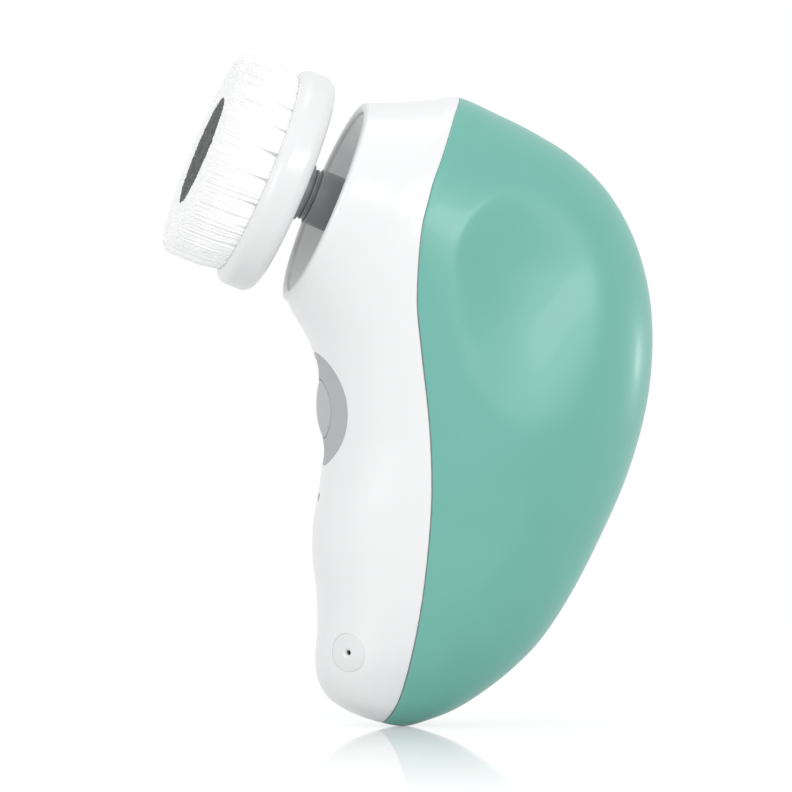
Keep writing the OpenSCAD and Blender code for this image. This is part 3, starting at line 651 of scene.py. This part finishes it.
def back_shell():
    """The teal shell, from the seam round the back, with the finger hollows in its skin."""
    shift = SEAM_START + SEAM_GAP
    rows, seam = seam_line(shift, where_closed(shift, LAST, LAST - 1), CROWN_RUN)
    edges = 180 - seam
    edges[0] = edges[-1] = 0
    angles = 180 + np.array([columns(edge, degree_length(v, 180 - edge, 1), BACK_CROWD)
                             for v, edge in zip(rows, edges)])
    grid_v = np.repeat(rows[:, None], angles.shape[1], 1)
    outer = off_skin(grid_v, angles, -drop_near(skin(grid_v, angles), edge_line(rows, 180 - edges)))
    inner = off_skin(grid_v, angles, np.full(angles.shape, -SHELL_WALL))
    count, total = angles.shape[1], len(rows)
    faces = loft(outer) + [tuple(total * count + p for p in reversed(face)) for face in loft(inner)]
    faces += side_walls(count, range(total), range(total, 2 * total))
    points = np.concatenate([outer.reshape(-1, 3), inner.reshape(-1, 3)])
    return add_piece("back_shell_skin", points, faces, "back_shell")


def gasket():
    """A dark strip that fills the seam below the edges of the two shells, open over the crown."""
    near, far = SEAM_START, SEAM_START + SEAM_GAP
    sink, deep = 0.12, 1.6
    foot = where_closed(far, LAST, LAST - 1)
    rows, _ = seam_line(far, LAST + 1, CROWN_RUN)
    rows = rows[(rows > section_at(0.5)) & (rows < foot - FOOT_CLEAR)]

    def leg(side):
        corners = ((near, -sink), (far, -sink), (far, -deep), (near, -deep), (near, -sink))
        return [[off_skin(v, side * seam_angle(v, shift), d) for shift, d in corners] for v in rows]

    bend = [[off_skin(v, q, d) for v, q, d in
             ((LAST, 0, -sink), (foot, 180, -sink), (foot, 180, -deep), (LAST, 0, -deep), (LAST, 0, -sink))]]
    rings = [np.array(ring) for ring in leg(1) + bend + leg(-1)[::-1]]
    last = len(rings[0]) * (len(rings) - 1)
    caps = [(0, 1, 2, 3), (last + 3, last + 2, last + 1, last)]
    add_piece("seam_gasket", np.concatenate(rings), loft(rings) + caps, "shell_gasket", smooth=False)


# ---------------------------------------------------------------- turned pieces on the brush axis
TURN_STEPS = 144
# Stands for no flats in a row of radius, height and half the width across its flats
ROUND = 99.0
# The most of an edge that the rounding of one of its corners takes
CORNER_SHARE = 0.45
CORNER_STEPS = 4
ARC_STEPS = 14

# Heights on the brush axis, from the mouth's rim plane
HEAD_GAP = 6.3
BASE_T = 7.3
BASE_R = 21.8
BASE_ROUND = 2.4
FIELD_R = 19.6
CORE_R = 10.8
SLICE_T = 1.0
TUFT_Z = HEAD_GAP + BASE_T - 1.1
TIP_Z = TUFT_Z + 12.7
SPIGOT_R = 3.4
SPIGOT_FLAT = 2.7
SPIGOT_L = 5.2
KEY_GAP = 0.04


def rounded(profile, radius):
    """An open profile with its inner corners rounded. A row is radius, height and, if any, half its flats."""
    rows = [np.array([*row, ROUND][:3]) for row in profile]
    result = [rows[0]]
    for before, corner, after in zip(rows, rows[1:], rows[2:]):
        back, on = before - corner, after - corner
        start = corner + back * min(radius / np.linalg.norm(back[:2]), CORNER_SHARE)
        end = corner + on * min(radius / np.linalg.norm(on[:2]), CORNER_SHARE)
        for t in np.linspace(0, 1, CORNER_STEPS):
            result.append((1 - t) ** 2 * start + 2 * t * (1 - t) * corner + t * t * end)
    return [*result, rows[-1]]


def arc(centre, radius, start, stop):
    turn = np.radians(np.linspace(start, stop, ARC_STEPS))
    return [(centre[0] + radius * math.cos(a), centre[1] + radius * math.sin(a)) for a in turn]


def turned(profile):
    """Rings in the mouth's frame through a profile's rows; the flats lie across the SIDE direction."""
    turn = np.radians(np.linspace(0, 360, TURN_STEPS + 1))
    rings = []
    for r, z, flat in profile:
        reach = np.minimum(r, flat / np.maximum(np.abs(np.sin(turn)), TINY))
        up, side = np.outer(reach * np.cos(turn), UP), np.outer(reach * np.sin(turn), SIDE)
        rings.append(MOUTH + z * AXIS + up + side)
    return rings


def brush_base():
    """The white disc: a keyed hole right through, soft round edges, and a low rim round the field."""
    floor, top = TUFT_Z - SLICE_T, HEAD_GAP + BASE_T
    key_r, key_flat = SPIGOT_R + KEY_GAP, SPIGOT_FLAT + KEY_GAP
    recess = HEAD_GAP + 0.5
    hole = rounded([(key_r, floor, key_flat), (key_r, HEAD_GAP, key_flat), (8.2, HEAD_GAP),
                    (9.2, recess), (18.2, recess), (18.9, HEAD_GAP)], 0.25)
    edge = arc((BASE_R - BASE_ROUND, HEAD_GAP + BASE_ROUND), BASE_ROUND, -88, 0)
    edge += arc((BASE_R - BASE_ROUND, top - BASE_ROUND), BASE_ROUND, 0, 84)
    rim = [(FIELD_R + 0.02, top - 0.12), (FIELD_R, top - 0.35), (FIELD_R, floor)]
    rings = turned(hole[:-1] + [(r, z, ROUND) for r, z in edge + rim] + [hole[0]])
    add_piece("brush_base_disc", np.concatenate(rings), loft(rings), "brush_base")


def drive_hub():
    """The grey hub: collar, notch, small tooth, flange and the keyed spigot, on the bore of its shaft."""
    bore, hub, notch, tooth, flange = 1.5, 5.4, 4.4, 5.0, 5.55
    foot, collar, bore_end = -7.6, -5.8, HEAD_GAP - 1
    notch_z, tooth_z, tooth_top, flange_z = 2.3, 2.82, 3.28, 3.8
    spigot_end = HEAD_GAP + SPIGOT_L - 0.1
    profile = [(0, bore_end), (bore, bore_end), (bore, foot), (notch, foot), (notch, collar), (hub, collar),
               (hub, notch_z), (notch, notch_z), (notch, tooth_z), (tooth, tooth_z), (tooth, tooth_top),
               (notch, tooth_top), (notch, flange_z), (flange, flange_z), (flange, HEAD_GAP),
               (SPIGOT_R, HEAD_GAP, SPIGOT_FLAT), (SPIGOT_R, spigot_end, SPIGOT_FLAT), (0, spigot_end)]
    rings = turned(rounded(profile, 0.14))
    add_piece("drive_hub_turned", np.concatenate(rings), loft(rings), "drive_hub")


# ---------------------------------------------------------------- bristles
TIP_R = 20.3
STRANDS = 12500
STRAND_R = 0.25
STRAND_SIDES = 3
# How far a strand starts below the top of the slice that it stands in
STRAND_ROOT = 0.5
# Each level of a strand: its share of the height, of the spread from its tuft, and of its thickness
LEVELS = np.array([[0, 0, 0.8], [0.18, 0.45, 1], [0.46, 0.9, 1], [1, 1, 0.75]])
# Each row of tufts: its radius, how many it has, and its turn in steps between them
TUFT_ROWS = [(18.0, 24, 0), (14.5, 20, 0.5), (8.8, 13, 0), (5.8, 8, 0), (2.8, 5, 0.5), (0, 1, 0)]
# How far from its tuft's middle a strand starts, as a share of its tip's, along the radius and across it
ROOT_ALONG, ROOT_ACROSS = 0.45, 0.72
TIP_SCATTER = 0.05
# The outermost tips drop: where that starts, over which distance, and by how much there
DROP_R, DROP_RUN, DROP = 18.5, 1.8, 1.2
GOLDEN = math.pi * (3 - math.sqrt(5))
SEED = 7
# Each field: its piece and node, the inner and outer radius of its slice, and how uneven its tips are
FIELDS = (
    ("bristles_white", "outer_bristles", (CORE_R, FIELD_R - 0.02), 0.12),
    ("bristles_dark", "inner_bristles", (0, CORE_R - 0.05), 0.2),
)


def tuft_centres():
    return np.array([(r * math.cos(a), r * math.sin(a)) for r, count, turn in TUFT_ROWS
                     for a in (2 * math.pi * (i + turn) / count for i in range(count))])


def strand_roots(tip, centres):
    """Where each strand leaves the nearest tuft; tufts spread more across the radius than along it."""
    nearest = centres[np.linalg.norm(tip[:, None] - centres[None], axis=-1).argmin(1)]
    off = tip - nearest
    out = nearest / np.maximum(np.linalg.norm(nearest, axis=1, keepdims=True), TINY)
    radial = (off * out).sum(1, keepdims=True) * out
    return nearest + ROOT_ALONG * radial + ROOT_ACROSS * (off - radial)


def strand_points(tip, root, top, turn):
    """The points of strands from their roots to their tips, level by level, in the body's frame."""
    share, spread, thick = LEVELS.T
    middle = root[:, None] + spread[None, :, None] * (tip - root)[:, None]
    start = TUFT_Z - STRAND_ROOT
    height = start + share[None] * (top - start)[:, None]
    sides = turn[:, None] + 2 * math.pi * np.arange(STRAND_SIDES) / STRAND_SIDES
    shape = np.stack([np.cos(sides), np.sin(sides)], -1)
    ring = middle[:, :, None] + shape[:, None] * STRAND_R * thick[None, :, None, None]
    flat = ring.reshape(-1, 2)
    level = np.repeat(height[:, :, None], STRAND_SIDES, 2).reshape(-1)
    return MOUTH + np.outer(level, AXIS) + np.outer(flat[:, 0], UP) + np.outer(flat[:, 1], SIDE)


def strand_faces(count):
    """The sides and both ends of that many strands."""
    faces = []
    for strand in range(count):
        first = strand * len(LEVELS) * STRAND_SIDES
        for row in range(len(LEVELS) - 1):
            low = first + row * STRAND_SIDES
            for k in range(STRAND_SIDES):
                a, b = low + k, low + (k + 1) % STRAND_SIDES
                faces.append((a, b, b + STRAND_SIDES, a + STRAND_SIDES))
        last = first + (len(LEVELS) - 1) * STRAND_SIDES
        faces += [(first + 2, first + 1, first), (last, last + 1, last + 2)]
    return faces


def backing(inner, outer):
    """The rings of the slice in which a field's strands stand."""
    below = TUFT_Z - SLICE_T
    corners = ((inner, below), (outer, below), (outer, TUFT_Z), (inner, TUFT_Z), (inner, below))
    return turned([(r, z, ROUND) for r, z in corners])


def bristles():
    """Fine strands that leave their tufts and spread into an even field: white outside, dark inside."""
    rng = np.random.default_rng(SEED)
    place = np.arange(STRANDS)
    radius, angle = TIP_R * np.sqrt((place + 0.5) / STRANDS), place * GOLDEN
    tips = np.stack([radius * np.cos(angle), radius * np.sin(angle)], -1)
    tips += rng.normal(0, TIP_SCATTER, tips.shape)
    far, centres = np.hypot(*tips.T), tuft_centres()
    centre_far = np.hypot(*centres.T)
    for name, node, (inner, outer), jitter in FIELDS:
        outside = inner > 0
        chosen = (far > CORE_R) == outside
        tip, own = tips[chosen], centres[(centre_far > CORE_R) == outside]
        drop = DROP * np.clip((far[chosen] - DROP_R) / DROP_RUN, 0, 1.2) ** 2
        top = TIP_Z - drop - np.abs(rng.normal(0, jitter, len(tip)))
        turn = rng.uniform(0, 2 * math.pi, len(tip))
        points = strand_points(tip, strand_roots(tip, own), top, turn)
        rings = backing(inner, outer)
        faces = strand_faces(len(tip)) + [tuple(len(points) + i for i in face) for face in loft(rings)]
        add_piece(name, np.concatenate([points, *rings]), faces, node)


# ---------------------------------------------------------------- button, inlay, light and port
BUTTON_Z = 60.5
BUTTON_R = 5.5
BUTTON_RISE = 1.0
INLAY_R = 10.75
INLAY_T = 1.2
INLAY_SINK = 0.22
LEDGE = 2
LIGHT_Z = 43.7
LIGHT_R = 0.8
PORT_P = np.array([-13.626, -9.471, 14.478])
PORT_N = np.array([-0.6647, -0.7419, -0.0881])
PORT_R = 3.7
PORT_T = 1.2
PORT_BORE_R = 2.4
PIN_R = 0.48
SPIN_STEPS = 96
SPIN = np.radians(np.linspace(0, 360, SPIN_STEPS + 1))
# The soft edge of an opening in the white shell: how much wider it is, and its height over the skin
FLARE = [(0.24, 0.6), (0.16, 0.02), (0.08, -0.05), (0.02, -0.13), (0, -0.25)]
PORT_FLARE_SHARE = 1 / 4
SHARP_ANGLE = math.radians(28)
# Newton's steps towards a place on the front skin: how many, and the small moves that give the slopes
NEWTON_STEPS = 8
MOVE_V, MOVE_Q = 1e-3, 1e-2
FOLLOW_STEPS = 6
# The half width from which a first guess at the angle is made
BODY_HALF = 22


def front_of(y, z):
    """The front skin's point and outward direction at a place across and a height, by Newton's steps."""
    y, z = np.broadcast_arrays(np.asarray(y, float), np.asarray(z, float))
    table_v = np.linspace(len(LIP), LAST - 1, 400)
    table_z = curve(ROWS, table_v)[:, 1]
    v = np.interp(z, table_z[::-1], table_v[::-1])
    q = np.degrees(np.arcsin(np.clip(y / BODY_HALF, -0.95, 0.95)))
    for _ in range(NEWTON_STEPS):
        here = skin(v, q)
        dv = (skin(v + MOVE_V, q) - here) / MOVE_V
        dq = (skin(v, q + MOVE_Q) - here) / MOVE_Q
        miss_y, miss_z = y - here[..., 1], z - here[..., 2]
        det = dv[..., 1] * dq[..., 2] - dv[..., 2] * dq[..., 1]
        v = v + (miss_y * dq[..., 2] - miss_z * dq[..., 1]) / det
        q = q + (dv[..., 1] * miss_z - dv[..., 2] * miss_y) / det
    return skin(v, q), outward(v, q)


def face_x(height):
    """The x of the front skin in the mid plane."""
    return front_of(0, height)[0][0]


def front_ring(height, r, rise):
    """A ring round the front axis at a height of the body, lifted off the skin by rise."""
    point, out = front_of(r * np.sin(SPIN), height + r * np.cos(SPIN))
    return point + rise * out


def plane_ring(height, r, x):
    """A ring round the front axis in the plane at x."""
    return np.stack([np.full(SPIN.shape, x), r * np.sin(SPIN), height + r * np.cos(SPIN)], -1)


def axis_frame(direction):
    """Two directions square to a direction and to each other."""
    across = np.cross(direction, [0, 0, 1])
    across /= np.linalg.norm(across)
    return across, np.cross(across, direction)


def port_ring(r, rise, follow=True):
    """A ring round the port's axis, on the skin where follow is set, lifted by rise along the axis."""
    across, along = axis_frame(PORT_N)
    flat = PORT_P + r * np.outer(np.cos(SPIN), across) + r * np.outer(np.sin(SPIN), along)
    for _ in range(FOLLOW_STEPS if follow else 0):
        point, out = front_of(flat[:, 1], flat[:, 2])
        short = ((point - flat) * out).sum(1) / (out @ PORT_N)
        flat = flat + short[:, None] * PORT_N
    return flat + rise * PORT_N


def button():
    """The button's cap, domed on the skin's own curve, with a flange and a stem behind."""
    face = face_x(BUTTON_Z)
    flange_r, flange, stem_r = BUTTON_R + 0.9, (2.5, 3.5), 1.6
    rings = [front_ring(BUTTON_Z, BUTTON_R * s, BUTTON_RISE * (1 - s * s) + 0.02)
             for s in np.linspace(0, 0.985, 22)]
    rings += [front_ring(BUTTON_Z, BUTTON_R, -0.1)]
    rings += [plane_ring(BUTTON_Z, r, face + depth) for r, depth in
              ((BUTTON_R, flange[0]), (flange_r, flange[0]), (flange_r, flange[1]), (stem_r, flange[1]),
               (stem_r, 4.6), (0, 4.6))]
    add_piece("power_button_cap", np.concatenate(rings), loft(rings), "power_button")


def inlay():
    """The soft ring round the button: a rounded outer edge, and a shallow dish that rises to the button."""
    inner, outer = BUTTON_R + 0.14, INLAY_R - 0.03
    edge = [front_ring(BUTTON_Z, outer - inset, -INLAY_SINK - drop)
            for inset, drop in ((0, 0.25), (0.03, 0.1), (0.1, 0.03), (0.22, 0))]
    dish = [front_ring(BUTTON_Z, r, -INLAY_SINK * min(1, (r - inner) / 2.5))
            for r in np.linspace(outer - 0.5, inner + 0.12, 16)]
    rest = [front_ring(BUTTON_Z, r, rise) for r, rise in
            ((inner + 0.03, -0.04), (inner, -0.12), (inner, -INLAY_T), (outer, -INLAY_T))]
    rings = [*edge, *dish, *rest, edge[0]]
    add_piece("button_inlay", np.concatenate(rings), loft(rings), "button_surround")


def light_lens():
    """The light's pin: a low dome with a rounded edge, flush in its hole."""
    face, r, depth = face_x(LIGHT_Z), LIGHT_R - 0.03, 5.2
    profile = [(0, -0.04), (0.3, -0.02), (0.55, 0.03), (r - 0.05, 0.12), (r, 0.22), (r, depth), (0, depth)]
    rings = [plane_ring(LIGHT_Z, x, face + sink) for x, sink in profile]
    add_piece("light_lens", np.concatenate(rings), loft(rings), "light_pipe")


def port_disc():
    """The port's soft disc, with a rounded edge and a pin hole whose mouth is chamfered."""
    r = PORT_R - 0.02
    back = [port_ring(r, -PORT_T, False), port_ring(PIN_R, -PORT_T, False)]
    mouth = [port_ring(PIN_R + wider, rise)
             for wider, rise in ((0, -0.55), (0.07, -0.36), (0.18, -0.2), (0.32, -0.09), (0.5, -0.03))]
    face = [port_ring(s, -0.02) for s in np.linspace(PIN_R + 0.8, r - 0.3, 8)]
    rings = [back[-1], *mouth, *face, port_ring(r - 0.04, -0.03), port_ring(r, -0.08), *back]
    add_piece("charge_port_disc", np.concatenate(rings), loft(rings), "charge_port_seal")


def cut(shell, rings):
    """Cuts the closed form that lies between rings, which start and end in a point, out of a shell."""
    tool = bpy.data.objects.new("cutter", closed_mesh("cutter", np.concatenate(rings), loft(rings)))
    tool.data.materials.append(shell.data.materials[0])
    bpy.context.collection.objects.link(tool)
    change = shell.modifiers.new("cut", "BOOLEAN")
    change.operation = "DIFFERENCE"
    change.solver = "MANIFOLD"
    change.object = tool
    result = bpy.data.meshes.new_from_object(shell.evaluated_get(bpy.context.evaluated_depsgraph_get()))
    shell.modifiers.clear()
    old, shell.data = shell.data, result
    bpy.data.meshes.remove(old)
    bpy.data.objects.remove(tool)


def cut_front(shell):
    """Cuts the recess of the inlay, the light's hole and the port's seat out of the front shell."""
    face, floor, ledge_r = face_x(BUTTON_Z), -INLAY_T - 0.02, INLAY_R - LEDGE
    seat = [plane_ring(BUTTON_Z, 0, face - 4)]
    seat += [front_ring(BUTTON_Z, INLAY_R + wider, rise) for wider, rise in FLARE]
    seat += [front_ring(BUTTON_Z, INLAY_R, floor), front_ring(BUTTON_Z, ledge_r, floor)]
    seat += [plane_ring(BUTTON_Z, ledge_r, face + 8), plane_ring(BUTTON_Z, 0, face + 8)]
    cut(shell, seat)

    face = face_x(LIGHT_Z)
    hole = [plane_ring(LIGHT_Z, 0, face - 2)]
    hole += [front_ring(LIGHT_Z, LIGHT_R + wider, rise) for wider, rise in FLARE[:-1]]
    hole += [plane_ring(LIGHT_Z, LIGHT_R, face + 5), plane_ring(LIGHT_Z, 0, face + 5)]
    cut(shell, hole)

    seat_depth, bore_depth = -PORT_T - 0.02, -9
    port = [port_ring(0, 2, False)]
    port += [port_ring(PORT_R + wider * PORT_FLARE_SHARE, rise * PORT_FLARE_SHARE) for wider, rise in FLARE]
    port += [port_ring(r, rise, False) for r, rise in
             ((PORT_R, seat_depth), (PORT_BORE_R, seat_depth), (PORT_BORE_R, bore_depth), (0, bore_depth))]
    cut(shell, port)

    shell.data.name = shell.name
    shell.data.set_sharp_from_angle(angle=SHARP_ANGLE)


# ---------------------------------------------------------------- start of the script's work
bpy.context.scene.view_settings.view_transform = "Standard"
make_camera()
make_world()
make_floor()
make_lights()
coat_nodes()
cut_front(front_shell())
back_shell()
gasket()
brush_base()
drive_hub()
bristles()
button()
inlay()
light_lens()
port_disc()
